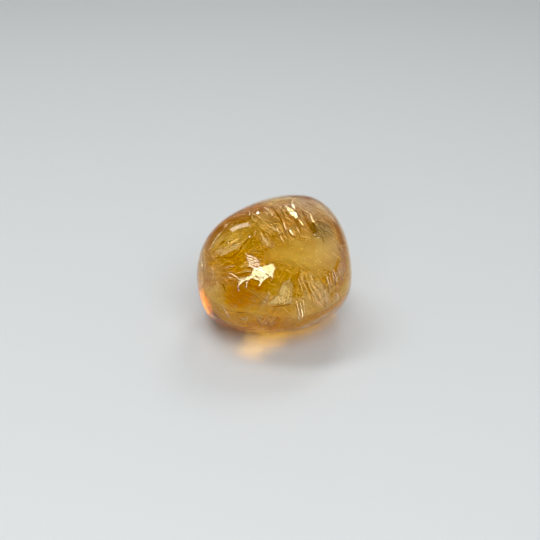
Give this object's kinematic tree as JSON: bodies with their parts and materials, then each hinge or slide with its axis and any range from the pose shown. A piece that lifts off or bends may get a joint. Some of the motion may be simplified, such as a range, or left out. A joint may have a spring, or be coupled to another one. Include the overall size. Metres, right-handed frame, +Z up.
{
  "type": "tumbled stone",
  "caption": "Tumbled golden quartz pebble, clear and polished, with healed fractures inside. It lies on a small flat as an ornament or a pocket stone.",
  "frame": {"origin": "middle of the stone's box in plan, on the surface that it rests on", "axes": "+X to the right along the stone's length, +Y from front to back, +Z up from the rest flat"},
  "size_m": [0.029, 0.0274, 0.025],
  "materials": {
    "golden_quartz": "polished"
  },
  "bodies": {
    "root": {"tumbled_stone": "golden_quartz"}
  },
  "joints": []
}
